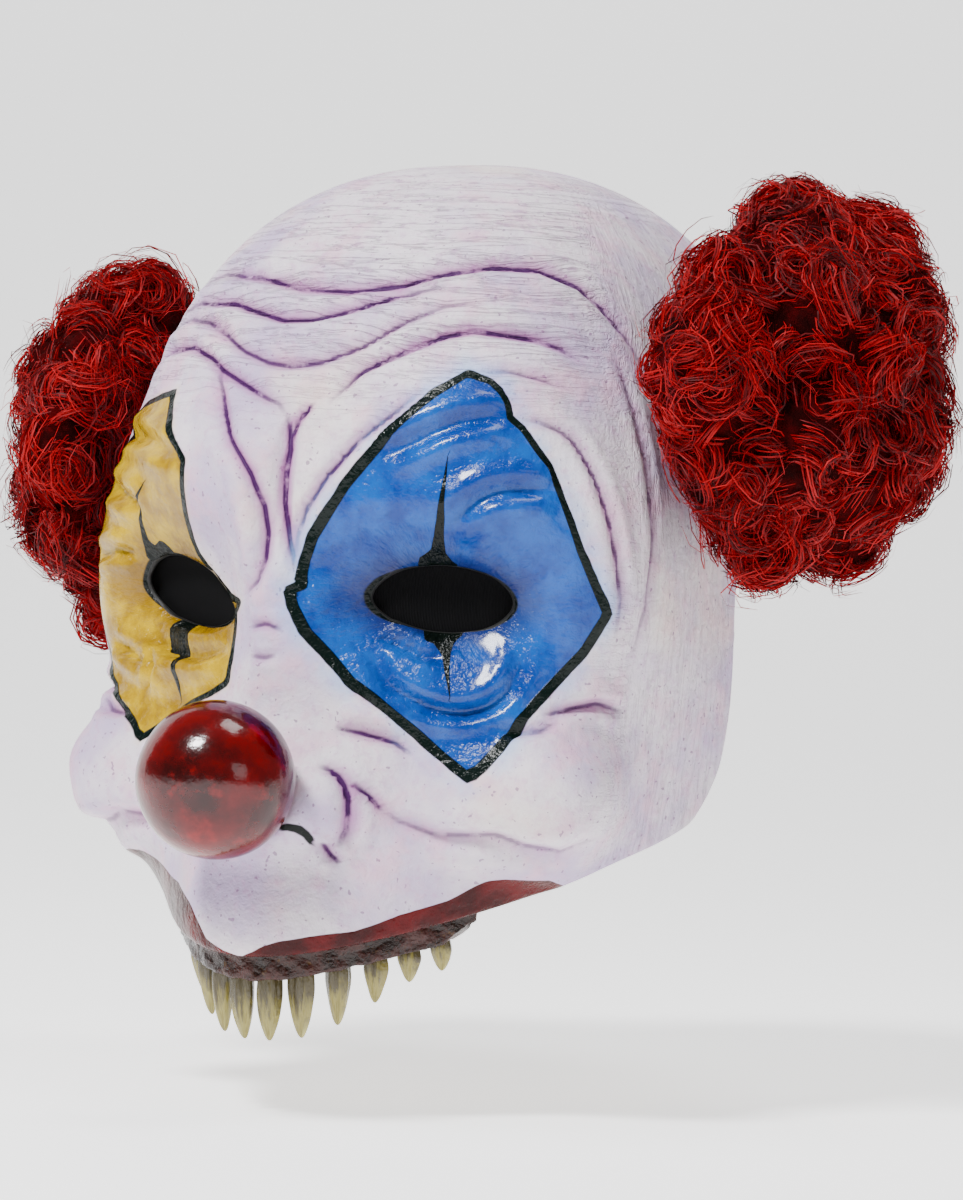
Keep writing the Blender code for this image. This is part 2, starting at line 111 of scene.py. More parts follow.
def put(piece, points):
    """Write all the points of a piece back."""
    piece.data.vertices.foreach_set("co", points.astype(np.float32).ravel())
    piece.data.update()


def store(piece, name, values):
    """Keep one number a point, for the materials to read."""
    layer = piece.data.attributes.new(name, "FLOAT", "POINT")
    layer.data.foreach_set("value", np.asarray(values, np.float32))


def measure(points):
    """Turn in degrees and height above eye level in millimetres."""
    turn = np.degrees(np.arctan2(points[:, 0], -points[:, 1]))
    return turn, points[:, 2] * 1000 + EYE_LEVEL


def finish(piece, body, material, slot, *nodes):
    """Give a piece its material and its place in the frame."""
    piece.data.materials.clear()
    piece.data.materials.append(material)
    only(piece)
    bpy.ops.object.shade_smooth()
    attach(piece, body)
    if nodes:
        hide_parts(*nodes)


# %% [markdown]
# ## Distances to drawn lines
# A wrinkle or an outline is a short table of points. For each point of the mesh the code
# finds how far the nearest line is and on which side. Stored as a number, that distance
# stays sharp when it is blended across a face, so a 1 mm outline needs no finer mesh.


# %% Distance to a line
def near_line(turn, up, line):
    """Signed distance in millimetres to a line of (turn, up) points, and how far along it."""
    line = np.array(line, float) * (ARC, 1)
    here = np.stack([turn * ARC, up], 1)
    best = np.full(len(here), 1e9)
    side = np.ones(len(here))
    along = np.zeros(len(here))
    lengths = np.hypot(*(line[1:] - line[:-1]).T)
    starts = np.concatenate([[0], np.cumsum(lengths)])
    for k, (a, b) in enumerate(zip(line[:-1], line[1:])):
        run = b - a
        share = np.clip((here - a) @ run / (run @ run), 0, 1)
        off = here - a - share[:, None] * run
        far = np.hypot(off[:, 0], off[:, 1])
        closer = far < best
        best[closer] = far[closer]
        cross = run[0] * (here[:, 1] - a[1]) - run[1] * (here[:, 0] - a[0])
        side[closer] = np.sign(cross[closer])
        along[closer] = (starts[k] + share[closer] * lengths[k]) / starts[-1]
    return best * side, along


def inside(turn, up, outline):
    """Signed distance to a closed outline, above 0 inside it."""
    closed = list(outline) + [outline[0]]
    far, _ = near_line(turn, up, closed)
    within = np.zeros(len(turn), bool)
    for (t0, u0), (t1, u1) in zip(closed[:-1], closed[1:]):
        if u0 != u1:
            crossing = (u0 > up) != (u1 > up)
            within ^= crossing & (turn < (t1 - t0) * (up - u0) / (u1 - u0) + t0)
    return np.where(within, 1, -1) * np.abs(far)


# %% [markdown]
# ## The drawn lines
# The tables follow the painted diamonds, the black points above and below each eye, the
# lip and the wrinkles. A wrinkle's row says how wide and deep it is in millimetres, how
# dark the purple is that sits in it (partly the mask's own wash, partly painted shade),
# and whether the other side has it too.

# %% Tables of lines
BLUE = ((23.4, 56.6), (26.5, 54.5), (27.9, 52.1), (29.0, 48.9), (29.4, 45.7), (30.9, 43.4),
        (34.8, 33.8), (36.5, 26.0), (39.1, 13.8), (41.2, 5.9), (43.3, -1.7), (40.5, -11.3),
        (34.8, -23.3), (30.3, -34.2), (26.0, -43.6), (21.9, -38.1), (17.7, -31.8),
        (13.0, -25.2), (9.6, -21.0), (6.8, -15.1), (3.8, -9.1), (2.1, -2.8), (1.5, 1.1),
        (3.0, 2.5), (2.8, 5.0), (3.0, 8.7), (3.9, 14.5), (8.1, 27.6), (13.7, 41.1), (19.2, 51.2))
YELLOW = ((-23.9, 50.8), (-23.4, 48.2), (-22.4, 45.5), (-20.7, 41.5), (-18.3, 36.8),
          (-16.4, 33.0), (-16.6, 28.7), (-17.3, 22.9), (-18.1, 18.7), (-19.0, 13.0),
          (-18.9, 9.5), (-17.8, 6.3), (-14.0, 1.5), (-11.2, -1.1), (-8.1, -2.3), (-9.6, -4.8),
          (-9.0, -10.6), (-8.5, -15.7), (-8.5, -22.5), (-11.9, -25.7), (-15.4, -28.0),
          (-21.7, -33.6), (-25.6, -38.1), (-28.0, -34.1), (-30.3, -31.7), (-34.5, -26.3),
          (-38.2, -20.5), (-44.0, -8.0), (-47.0, 2.0), (-45.5, 14.0), (-43.0, 28.0),
          (-39.0, 37.0), (-36.0, 40.0), (-36.3, 44.1), (-32.7, 47.8), (-27.5, 49.6))
LIP = ((-60, -77), (-41, -70), (-38, -67), (-32, -66), (-24, -69), (-17, -72), (-12.9, -73.1),
       (-8.4, -77.6), (-6.0, -82.7), (-5.1, -85.7), (-2.5, -88.3), (-0.3, -89.7), (1.5, -88.2),
       (2.8, -86.5), (4.9, -85.0), (9.6, -83.1), (12.7, -82.0), (15.4, -79.9), (17.6, -77.9),
       (20.6, -76.1), (23.8, -74.0), (26.2, -71.4), (28.5, -69.2), (32.0, -67.8),
       (37.7, -67.4), (41, -70), (60, -77))
POINTS = (
    # turn, up and half width in millimetres, from the tip to the eye
    ((21.5, 34.9, 0), (21.2, 27, 0.35), (20.9, 20, 0.7), (20.6, 15.5, 0.9), (20.4, 12, 1.4),
     (20.2, 9.6, 3.6), (20.2, 8, 7.5)),
    ((22.9, -23.7, 0), (22.2, -17, 0.45), (21.9, -13, 0.8), (21.5, -10.6, 2.1),
     (21.2, -8.4, 5.4), (21.0, -6.8, 8.0)),
    ((-26.2, 28, 0), (-28.4, 22.9, 0.3), (-29.3, 17.8, 0.45), (-29.6, 12.3, 0.8),
     (-29.0, 9.6, 2.2), (-27.5, 8, 4.5)),
    ((-18.5, -27.7, 0), (-19.4, -23.5, 0.5), (-20.0, -20.2, 0.7), (-19.9, -16.9, 0.8),
     (-21.0, -13.9, 1.8), (-22.5, -11.1, 4.5)),
)
WRINKLES = (
    # name, wide, deep, dark, both, line
    ("forehead_1", 1.3, 0.9, 0.75, 0, ((-34, 80), (-27.8, 83), (-16, 81.3), (-6.5, 78.2), (2, 77.7),
     (11, 79.3), (17, 82.5), (25.5, 85), (34, 84.9), (41, 81.3), (45, 76.4), (50, 68), (54, 58))),
    ("forehead_2", 1.3, 0.9, 0.7, 0, ((-37, 72), (-31, 75.3), (-20, 74.7), (-13, 72), (-8, 70.2),
     (-3, 70.5), (2.5, 72.4), (10, 76), (20, 79))),
    ("forehead_3", 1.4, 1.1, 0.55, 0, ((-38, 68), (-32, 71), (-24.5, 70), (-18.5, 66.6),
     (-13.3, 61.7), (-8.4, 58.9), (-4, 58.1), (0.7, 59), (6.7, 62.9), (12.8, 69.6), (19, 74),
     (24.5, 74.5))),
    ("forehead_4", 1.3, 0.9, 0.8, 0, ((4, 48), (6.1, 52.5), (7.7, 56.5), (11.6, 60.2),
     (15.6, 63.5), (19.7, 66.5), (23.7, 68), (28, 67.4), (33.6, 66.4), (37, 64.4), (41, 60.7))),
    ("forehead_5", 1.4, 1.1, 0.7, 0, ((-40, 58), (-34.6, 62.7), (-25.7, 63.2), (-19.5, 60),
     (-16.5, 57), (-8.4, 51.4), (-3.3, 47.9), (-1.5, 44.1))),
    ("frown", 1.3, 1.4, 0.9, 0, ((-1.8, 46), (-1.1, 42.6), (-0.4, 36.8), (-0.4, 31),
     (-0.1, 22.8), (0.9, 14), (2.2, 5.7))),
    ("frown_arm", 0.9, 0.7, 0.8, 0, ((1.8, 48), (0.6, 45), (-0.2, 42.4), (-0.4, 38.6))),
    ("brow_fold", 1.5, 1.5, 0.75, 0, ((-17.3, 57.8), (-13.2, 48.6), (-9, 39.1), (-6.1, 34.3),
     (-4.2, 30.1), (-2.2, 22), (-1.6, 15.1), (-1.9, 8.6), (-3.3, 2.8), (-6.6, -1))),
    ("inner_blue", 1.0, 0.7, 0.6, 0, ((18.1, 52.7), (14.7, 47.2), (9.3, 38.9), (5.2, 29.2),
     (2.8, 21.1), (2, 14.9), (1.7, 8.4))),
    ("over_blue", 0.9, 0.5, 0.4, 0, ((25, 57), (29, 57.6), (32.7, 56.4), (37.7, 54.2))),
    ("round_blue", 1.1, 0.6, 0.5, 0, ((30, 45.5), (33.1, 45.3), (35.6, 43.8), (37.8, 41.8),
     (39.8, 37), (41.6, 31.2), (43.4, 21.7), (44.6, 11.8), (45.5, 2), (44.9, -8))),
    ("temple_line", 1.0, 0.5, 0.35, 1, ((46, 66), (49, 52), (51, 36), (51.5, 18), (50, 0),
     (48, -14))),
    ("wing", 1.1, 1.2, 0.8, 1, ((7.7, -41.8), (8.8, -42.2), (10.2, -43.8), (11.2, -46.4),
     (11.7, -49.8), (11.8, -53.5), (11.5, -57.2), (10.5, -61))),
    ("smile", 1.4, 1.0, 0.6, 1, ((8.3, -32.3), (11.5, -33.3), (15.8, -35.4), (18.4, -38.6))),
    ("smile_low", 1.0, 0.6, 0.6, 1, ((11.6, -45.5), (13.5, -48.3), (15.2, -52.5))),
    ("cheek_low", 1.7, 1.2, 0.35, 1, ((13, -49), (17.2, -55), (21.6, -58.1), (26.2, -58.2),
     (29.6, -57.9), (33.3, -60.6), (38.6, -62), (43.8, -57))),
    ("cheek_up", 1.1, 0.7, 0.5, 1, ((35, -27.6), (37, -26.4), (39.7, -25.2), (43.7, -24.1),
     (48, -26))),
    ("cheek_in", 1.1, 0.7, 0.45, 1, ((29.5, -31.5), (31.6, -31.7), (34.8, -30.9), (37.5, -28.8))),
    ("under_nose", 0.8, 0.5, 0.6, 1, ((8.8, -60.5), (9.6, -63.5), (10.6, -65.5))),
    ("bridge", 0.8, 0.4, 0.5, 0, ((-4.2, -8.5), (-1.2, -7.4), (1.2, -9.0))),
    ("bridge_low", 0.8, 0.4, 0.4, 0, ((-3.4, -15.6), (-1, -15.9), (0.6, -15.2))),
    ("blue_high", 1.5, 0.9, 0, 0, ((12.6, 34.8), (16.5, 38.5), (19.7, 41.9), (22.8, 44.2),
     (26.7, 45.5), (29.6, 45.5))),
    ("blue_lid", 1.5, 1.2, 0, 0, ((21.5, 17.9), (23.7, 21.9), (25.6, 25), (27.7, 27.2),
     (30.9, 28.2), (35.5, 27.7))),
    ("blue_bag", 1.3, 0.9, 0, 0, ((11.1, -10.5), (12.3, -15), (14.1, -20.9), (16.2, -23.5),
     (18.9, -25.8), (21.6, -27.3), (24.9, -27.5), (28.2, -25.5), (30.5, -21.9), (32.1, -15.9),
     (32.5, -9))),
    ("blue_low", 1.0, 0.6, 0, 0, ((12.4, -7.4), (13.9, -10.3), (18.3, -13.7), (22, -14.5))),
    ("yellow_low", 1.3, 1.0, 0, 0, ((-31.6, -7.9), (-27.6, -12.8), (-22.3, -15.2),
     (-16, -16.1), (-10.1, -14))),
    ("yellow_side", 1.1, 0.8, 0, 0, ((-38, -13), (-32, -17), (-28, -19.4))),
    ("yellow_mid", 1.0, 0.8, 0, 0, ((-26.9, -25.8), (-26.1, -19.3), (-28.1, -15.5))),
    ("yellow_out", 1.2, 0.9, 0, 0, ((-41.5, 8.7), (-36.2, 10), (-32.2, 9.6))),
    ("yellow_lid", 1.4, 1.0, 0, 0, ((-40, 27), (-35.2, 25.6), (-30.3, 22.9), (-29, 19.1))),
    ("yellow_top", 1.4, 0.9, 0, 0, ((-38, 39.9), (-31, 39.6), (-25.7, 38.3), (-17.8, 33.5))),
)
NOSTRIL = ((4.4, -57.6), (5.4, -56.9), (6.8, -57.3), (7.5, -58.9), (7.9, -61.4))
EYES = (
    # side, out, up, half width, rise, sag, tilt, droop
    (1, 36.0, 0.0, 16.0, 8.0, 7.15, 0, 0.0),
    (-1, 36.4, -1.35, 17.3, 8.0, 6.5, 12, 0.5),
)
print(len(WRINKLES), "wrinkles and", len(BLUE) + len(YELLOW), "points of paint outline")

# %% [markdown]
# ## The skin
# The CAD shell is a coarse cage. Its triangles turn back into quads, and two levels of
# subdivision round it off. The wrinkles are then pressed in: each point moves along its
# normal, down in the wrinkle and slightly up beside it, as soft latex bulges.

# %% Smooth skin from the CAD cage
skin = copy_of("mask_shell", "mask_skin")
skin.data.materials.append(None)
skin.data.materials.append(None)
centres = read(skin.data.polygons, "center")
normals = read(skin.data.polygons, "normal")
middle = np.array([0, 0, EYE_LEVEL * -0.001 - 0.01])
outwards = ((centres - middle) * normals).sum(1)
lining = (outwards < 0).astype(np.int32)
skin.data.polygons.foreach_set("material_index", lining)
apply(skin, "SUBSURF", levels=2, render_levels=2)
print("skin:", len(skin.data.polygons), "faces,", int(lining.sum()), "cage faces inside")

# %% Press the wrinkles in
where = read(skin.data.vertices, "co")
push = read(skin.data.vertices, "normal")
turn, up = measure(where)
outer = ((where - middle) * push).sum(1) > -0.002
valley = np.zeros(len(where))
bulge = np.zeros(len(where))
crease = np.full((GROUPS, len(where)), 9.0)
keep = np.zeros((GROUPS, len(where)))
for number, (name, wide, deep, dark, both, line) in enumerate(WRINKLES):
    for hand in (1, -1) if both else (1,):
        far, along = near_line(turn, up, [(t * hand, u) for t, u in line])
        fade = 1 - (2 * along - 1) ** 4
        beside = np.abs(far)
        sunk = min(DEPTH * deep, 1.5 * wide, DEEPEST)
        valley = np.maximum(valley, sunk * fade * np.exp(-((beside / wide) ** 1.4)))
        swell = np.exp(-(((beside - 2.8 * wide) / (1.9 * wide)) ** 2))
        bulge = np.maximum(bulge, 0.95 * sunk * fade * swell)
        group = number % GROUPS
        nearer = beside < np.abs(crease[group])
        crease[group, nearer] = far[nearer]
        # How strongly this wrinkle's purple shows: partly the mask's own wash, partly painted shade.
        strength = max(dark, 0.12) * fade * np.clip((2.8 - beside) / 1.0, 0, 1)
        keep[group, nearer] = strength[nearer]
lift = bulge * np.clip(1 - valley, 0, 1) - valley
where[outer] += push[outer] * (lift[outer, None] * 0.001)
put(skin, where)
print("deepest wrinkle", round(float(-lift.min()), 2), "mm")

# %% Store the paint distances
store(skin, "turn", np.abs(turn))
store(skin, "up", up)
for group in range(GROUPS):
    store(skin, f"crease_{group}", crease[group])
    store(skin, f"keep_{group}", keep[group])
store(skin, "blue", inside(turn, up, BLUE))
store(skin, "yellow", inside(turn, up, YELLOW))
lip_turn, lip_up = np.array(LIP).T
store(skin, "lip", np.interp(turn, lip_turn, lip_up) - up)
spike = np.full(len(where), 9.0)
spike_half = np.full(len(where), -1.0)
for rows in POINTS:
    far, along = near_line(turn, up, [row[:2] for row in rows])
    line = np.array([row[:2] for row in rows]) * (ARC, 1)
    steps = np.concatenate([[0], np.cumsum(np.hypot(*(line[1:] - line[:-1]).T))])
    half = np.minimum(1.3 * np.interp(along, steps / steps[-1], [row[2] for row in rows]), 5)
    half = np.where(np.abs(far) > half + 2.5, -1.0, half)
    nearer = half - np.abs(far) > spike_half - np.abs(spike)
    spike[nearer] = far[nearer]
    spike_half[nearer] = half[nearer]
store(skin, "spike", spike)
store(skin, "spike_half", spike_half)
eye_rim = np.full(len(where), 40.0)
for side, out, high, half, rise, sag, tilt, droop in EYES:
    lean = math.radians(tilt)
    aside = side * where[:, 0] * 1000 - out
    above = up - high
    across = aside * math.cos(lean) + above * math.sin(lean)
    over = above * math.cos(lean) - aside * math.sin(lean)
    bend = 1 + droop * across / np.maximum(np.hypot(across, over * 2), 1e-6)
    tall = np.where(over > 0, rise * bend, sag)
    eye_rim = np.minimum(eye_rim, (np.hypot(across / half, over / tall) - 1) * 10)
eye_rim[where[:, 1] > -0.03] = 40
store(skin, "rim", eye_rim)
nostril = np.full(len(where), 9.0)
for hand in (1, -1):
    far, along = near_line(turn, up, [(t * hand, u) for t, u in NOSTRIL])
    nostril = np.minimum(nostril, np.abs(far) + 0.6 * np.abs(2 * along - 1) ** 3)
store(skin, "nostril", nostril)

# %% [markdown]
# ## Shader maths in plain Python
# A material is a chain of nodes. The Field class wraps one output socket, so sums and
# products of sockets can be written as ordinary expressions, and one method adds any
# other node.


# %% A small shader language
class Field:
    """An output socket that takes part in sums and products."""

    def __init__(self, net, socket):
        self.net = net
        self.socket = socket

    def math(self, kind, *others):
        return self.net.node("ShaderNodeMath", {"operation": kind}, (self, *others))

    def __add__(self, other):
        return self.math("ADD", other)

    def __radd__(self, other):
        return self.math("ADD", other)

    def __sub__(self, other):
        return self.math("SUBTRACT", other)

    def __rsub__(self, other):
        return self.net.node("ShaderNodeMath", {"operation": "SUBTRACT"}, (other, self))

    def __mul__(self, other):
        return self.math("MULTIPLY", other)

    def __rmul__(self, other):
        return self.math("MULTIPLY", other)

    def __truediv__(self, other):
        return self.math("DIVIDE", other)

    def __abs__(self):
        return self.math("ABSOLUTE")

    def __pow__(self, other):
        return self.math("POWER", other)

    def most(self, other):
        return self.math("MAXIMUM", other)

    def least(self, other):
        return self.math("MINIMUM", other)

    def step(self, low, high):
        """0 at low and 1 at high, with a smooth rise between."""
        values = {"Value": self, "From Min": low, "From Max": high}
        kind = {"interpolation_type": "SMOOTHSTEP"}
        return self.net.node("ShaderNodeMapRange", kind, values)


class Net:
    """The nodes of one material."""

    def __init__(self, name, roughness=0.4):
        self.material = bpy.data.materials.new(name)
        self.material.use_nodes = True
        self.tree = self.material.node_tree
        self.shader = self.tree.nodes["Principled BSDF"]
        self.shader.inputs["Roughness"].default_value = roughness
        self.place = self.node("ShaderNodeTexCoord", out="Object")

    def node(self, kind, settings=None, values=None, out=0):
        """Any node: its settings, then its inputs by name or in order."""
        made = self.tree.nodes.new(kind)
        for name, value in (settings or {}).items():
            setattr(made, name, value)
        pairs = values.items() if isinstance(values, dict) else enumerate(values or ())
        for name, value in pairs:
            if isinstance(value, Field):
                self.tree.links.new(value.socket, made.inputs[name])
            else:
                made.inputs[name].default_value = value
        return Field(self, made.outputs[out])

    def number(self, name):
        return self.node("ShaderNodeAttribute", {"attribute_name": name}, out="Fac")

    def noise(self, scale, detail=3, rough=0.5, place=None):
        values = {"Vector": place or self.place, "Scale": scale, "Detail": detail}
        values["Roughness"] = rough
        return self.node("ShaderNodeTexNoise", {}, values, out="Fac")

    def vector(self, x, y, z):
        return self.node("ShaderNodeCombineXYZ", {}, (x, y, z))

    def mix(self, share, first, second):
        """A blend of two colours."""
        made = self.tree.nodes.new("ShaderNodeMix")
        made.data_type = "RGBA"
        values = (share, first, second)
        for socket, value in zip((made.inputs[0], made.inputs[6], made.inputs[7]), values):
            if isinstance(value, Field):
                self.tree.links.new(value.socket, socket)
            elif isinstance(value, tuple):
                socket.default_value = (*value, 1)
            else:
                socket.default_value = value
        return Field(self, made.outputs[2])

    def feed(self, name, field):
        self.tree.links.new(field.socket, self.shader.inputs[name])

    def bump(self, height, distance=0.001, strength=1.0):
        """Bump from a height in millimetres."""
        values = {"Height": height, "Distance": distance, "Strength": strength}
        self.feed("Normal", self.node("ShaderNodeBump", {}, values))

    def set(self, **values):
        for name, value in values.items():
            self.shader.inputs[name.replace("_", " ")].default_value = value


# %% [markdown]
# ## Painted latex
# The white is never plain: lavender and pink washes lie over it, fine lines run across
# the dome and down the temples, and purple sits in the wrinkles, partly the mask's own
# wash and partly painted shade. The diamonds are thick glossy paint with a dark puckered
# edge, and a little blue has drifted past its outline.

# %% The skin's paint
net = Net("painted_latex")
turned = net.number("turn")
height = net.number("up")
wash = net.noise(28, 4, 0.6)
cloud = net.noise(70, 5, 0.65)
grain = net.noise(420, 3, 0.6)
pores = net.noise(1500, 2, 0.6)
white = net.mix(wash.step(0.40, 0.66), (0.72, 0.65, 0.72), (0.50, 0.40, 0.60))
white = net.mix(cloud.step(0.46, 0.68) * 0.7, white, (0.70, 0.42, 0.56))
white = net.mix(grain.step(0.50, 0.72) * 0.4, white, (0.52, 0.28, 0.50))
cream = net.noise(17, 2, 0.5).step(0.52, 0.68)
white = net.mix(cream * 0.35, white, (0.80, 0.74, 0.52))
speck = net.noise(650, 1, 0.5).step(0.70, 0.73)
white = net.mix(speck * 0.6, white, (0.16, 0.06, 0.16))

sway = net.noise(11, 2, 0.5)
across = net.node("ShaderNodeSeparateXYZ", {}, {"Vector": net.place}, "X")
dome_lines = net.noise(1, 4, 0.62, net.vector(across * 28.0, height * 0.34 + sway * 1.6, 0.0))
side_lines = net.noise(1, 4, 0.62, net.vector(turned * 0.62 + sway * 1.6, height * 0.035, 4.0))
temple = turned.step(38, 54) * (1.0 - height.step(88, 112) * 0.85)
lines = dome_lines * (1.0 - temple) + side_lines * temple
lined = height.step(30, 75).most(temple)
thin = (1.0 - abs(lines - 0.5).step(0.0, 0.035)) * lined * (1.0 - temple * 0.6)
white = net.mix(thin * grain.step(0.38, 0.6) * 0.5, white, (0.42, 0.24, 0.42))

ragged = net.noise(120, 4, 0.6)
# Purple in the wrinkles: a wide band that is partly the mask's own wash and partly painted shade, and a
# dark line of painted shade along the bottom of each crease.
wash_and_shade = 0.0
dark = 0.0
dent = 0.0
for group in range(GROUPS):
    beside = abs(net.number(f"crease_{group}"))
    keep_here = net.number(f"keep_{group}")
    wash_and_shade = (1.0 - beside.step(0.3, 3.2)) * keep_here + wash_and_shade
    dark = (1.0 - beside.step(0.15, 0.85)) * keep_here + dark
    dent = (1.0 - beside.step(0.0, 1.1)) * keep_here + dent
white = net.mix((wash_and_shade * 1.3).least(1.0) * 0.8, white, (0.40, 0.13, 0.36))
white = net.mix((dark * 1.7).least(1.0) * ragged.step(0.30, 0.50), white, (0.05, 0.008, 0.07))

blue = net.number("blue")
yellow = net.number("yellow")
drift = blue.step(-7.5, -0.5) * net.noise(90, 4, 0.6).step(0.30, 0.62)
white = net.mix(drift * 0.6, white, (0.20, 0.42, 0.80))
drift = yellow.step(-3.0, -0.3) * net.noise(110, 3, 0.6).step(0.35, 0.65)
white = net.mix(drift * 0.35, white, (0.80, 0.62, 0.15))

rim = net.number("rim")
tone = net.noise(95, 4, 0.6)
blue_paint = net.mix(tone.step(0.36, 0.66), (0.0, 0.030, 0.22), (0.003, 0.075, 0.36))
blue_paint = net.mix((1.0 - rim.step(0.5, 9)) * 0.75, blue_paint, (0.010, 0.010, 0.07))
yellow_paint = net.mix(tone.step(0.36, 0.66), (0.27, 0.15, 0.0), (0.52, 0.335, 0.0))
yellow_paint = net.mix((1.0 - rim.step(0.5, 8)) * 0.5, yellow_paint, (0.12, 0.05, 0.0))

wobble = (net.noise(150, 2, 0.5) - 0.5) * 1.1
blue_in = (blue + wobble * 0.4).step(-0.12, 0.12)
yellow_in = (yellow + wobble * 0.4).step(-0.12, 0.12)
colour = net.mix(blue_in, white, blue_paint)
colour = net.mix(yellow_in, colour, yellow_paint)
thick = 0.5 - (height.step(-12, 30) * turned.step(16, 26) - 1.0) * 0.45
blue_edge = 1.0 - (abs(blue + wobble * 0.4) - wobble * 0.5 - thick).step(0.22, 0.5)
yellow_edge = 1.0 - (abs(yellow + wobble * 0.4) - wobble * 0.5).step(0.75, 1.1)
spike = net.number("spike_half") - abs(net.number("spike"))
black = (1.0 - (rim + wobble * 0.5).step(0.9, 1.35)).most(spike.step(-0.2, 0.0))
nostril = net.number("nostril")
# Black where the nostril hole would be: the hole is not cut, so this is painted shade.
nostril_shade = 1.0 - nostril.step(0.8, 1.3)
lip = net.number("lip") + wobble * 0.35
red = lip.step(-0.1, 0.1)
red_paint = net.mix(tone.step(0.35, 0.7), (0.030, 0.0, 0.0), (0.09, 0.0, 0.001))
colour = net.mix(red, colour, red_paint)
# Darker purple round the nostril.
nostril_purple = (1.0 - nostril.step(1.0, 5.0)) * cloud.step(0.42, 0.6)
colour = net.mix(nostril_purple * 0.75, colour, (0.20, 0.03, 0.15))
edges = blue_edge.most(yellow_edge)
colour = net.mix(edges, colour, (0.001, 0.005, 0.004))
colour = net.mix(black.most(nostril_shade), colour, (0.002, 0.004, 0.003))
net.feed("Base Color", colour)

painted = blue_in.most(yellow_in).most(black).most(edges).most(red)
net.feed("Roughness", 0.42 + grain * 0.12 - painted * 0.24)
eye_x = (abs(turned) * ARC) - 39.0
reach = ((eye_x * eye_x) + (height * height)) ** 0.5 + 0.5
folds = net.noise(5.5, 4, 0.6, net.vector(eye_x / reach, height / reach, reach * 0.02))
round_eye = (1.0 - rim.step(6, 22)) * painted
relief = (lines - 0.5) * lined * (1.0 - painted) * (1.7 - temple * 0.7) - thin * (1.0 - painted) * 0.35
relief = relief + (grain - 0.5) * 0.35 + (pores - 0.5) * 0.10
relief = relief + (folds - 0.5) * round_eye * 1.6 + (tone - 0.5) * painted * 1.2
relief = relief + (cloud - 0.5) * 1.2 - dent * 0.6
relief = relief + edges * 0.30 + black * 0.15 + painted * 0.10
net.bump(relief)
net.feed("Coat Weight", (blue_in.most(yellow_in) * (1.0 - black) * (1.0 - edges)) * 0.35)
net.set(Specular_IOR_Level=0.18, Coat_Roughness=0.1)
latex_paint = net.material

net = Net("raw_latex", 0.62)
tone = net.noise(60, 4, 0.6)
back_tone = net.mix(tone.step(0.3, 0.7), (0.50, 0.38, 0.22), (0.62, 0.51, 0.34))
back_tone = net.mix(net.number("lip").step(-2.0, 0.0), back_tone, (0.07, 0.0, 0.001))
net.feed("Base Color", net.mix(1.0 - net.number("rim").step(1.5, 3.0), back_tone, (0.002, 0.002, 0.002)))
net.bump((net.noise(300, 4, 0.6) - 0.5) * 0.5)
raw_latex = net.material

only(skin)
bpy.ops.object.shade_smooth()
skin.data.materials[0] = latex_paint
skin.data.materials[1] = raw_latex
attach(skin, "root")
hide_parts("mask_shell")
print("skin materials:", [m.name for m in skin.data.materials])

# %% [markdown]
# ## Painted shade behind the eyes
# The eye holes read as solid black: a dark sheet of painted shade sits behind each one. Each
# patch is a small grid, bent to follow the back of the eye hole and given a thin wall.

# %% Painted shade behind the eyes
# A near-black sheet: painted shade for the inside of each eye hole.
net = Net("black_eye_shade", 0.9)
sheet_bands = net.node("ShaderNodeTexWave", {"bands_direction": "X"}, {"Vector": net.place, "Scale": 900}, "Fac")
net.feed("Base Color", net.mix(sheet_bands, (0.001, 0.001, 0.001), (0.006, 0.006, 0.007)))
net.bump(sheet_bands * 0.2)
net.set(Specular_IOR_Level=0.1)
eye_shade_black = net.material
for side, out, high, half, rise, sag, tilt, droop in EYES:
    bpy.ops.mesh.primitive_grid_add(x_subdivisions=20, y_subdivisions=12, size=1)
    eye_shade = bpy.context.object
    eye_shade.name = "eye_gauze_left" if side > 0 else "eye_gauze_right"
    flat = read(eye_shade.data.vertices, "co")
    x = (side * out + flat[:, 0] * 2 * (half + 6)) * 0.001
    z = (high - EYE_LEVEL + flat[:, 1] * (rise + sag + 14)) * 0.001
    spots = []
    for at_x, at_z in zip(x, z):
        hit, spot, _, _ = skin.ray_cast(Vector((at_x, -0.03, at_z)), Vector((0, -1, 0)))
        if hit:
            spots.append(spot)
    spots = np.array(spots)
    terms = [np.stack([np.ones(len(u)), u, v, u * u, u * v, v * v], 1)
             for u, v in ((spots[:, 0], spots[:, 2]), (x, z))]
    fit = np.linalg.lstsq(terms[0], spots[:, 1], rcond=None)[0]
    put(eye_shade, np.stack([x, terms[1] @ fit + 0.0012, z], 1))
    apply(eye_shade, "SOLIDIFY", thickness=0.0006)
    finish(eye_shade, "root", eye_shade_black, "white_latex")
print("two gauze patches")

# %% [markdown]
# ## The nose
# A glossy ball of dark red lacquer. The CAD ball is subdivided and pushed back to a true
# round, with a faint unevenness like hand-dipped latex.

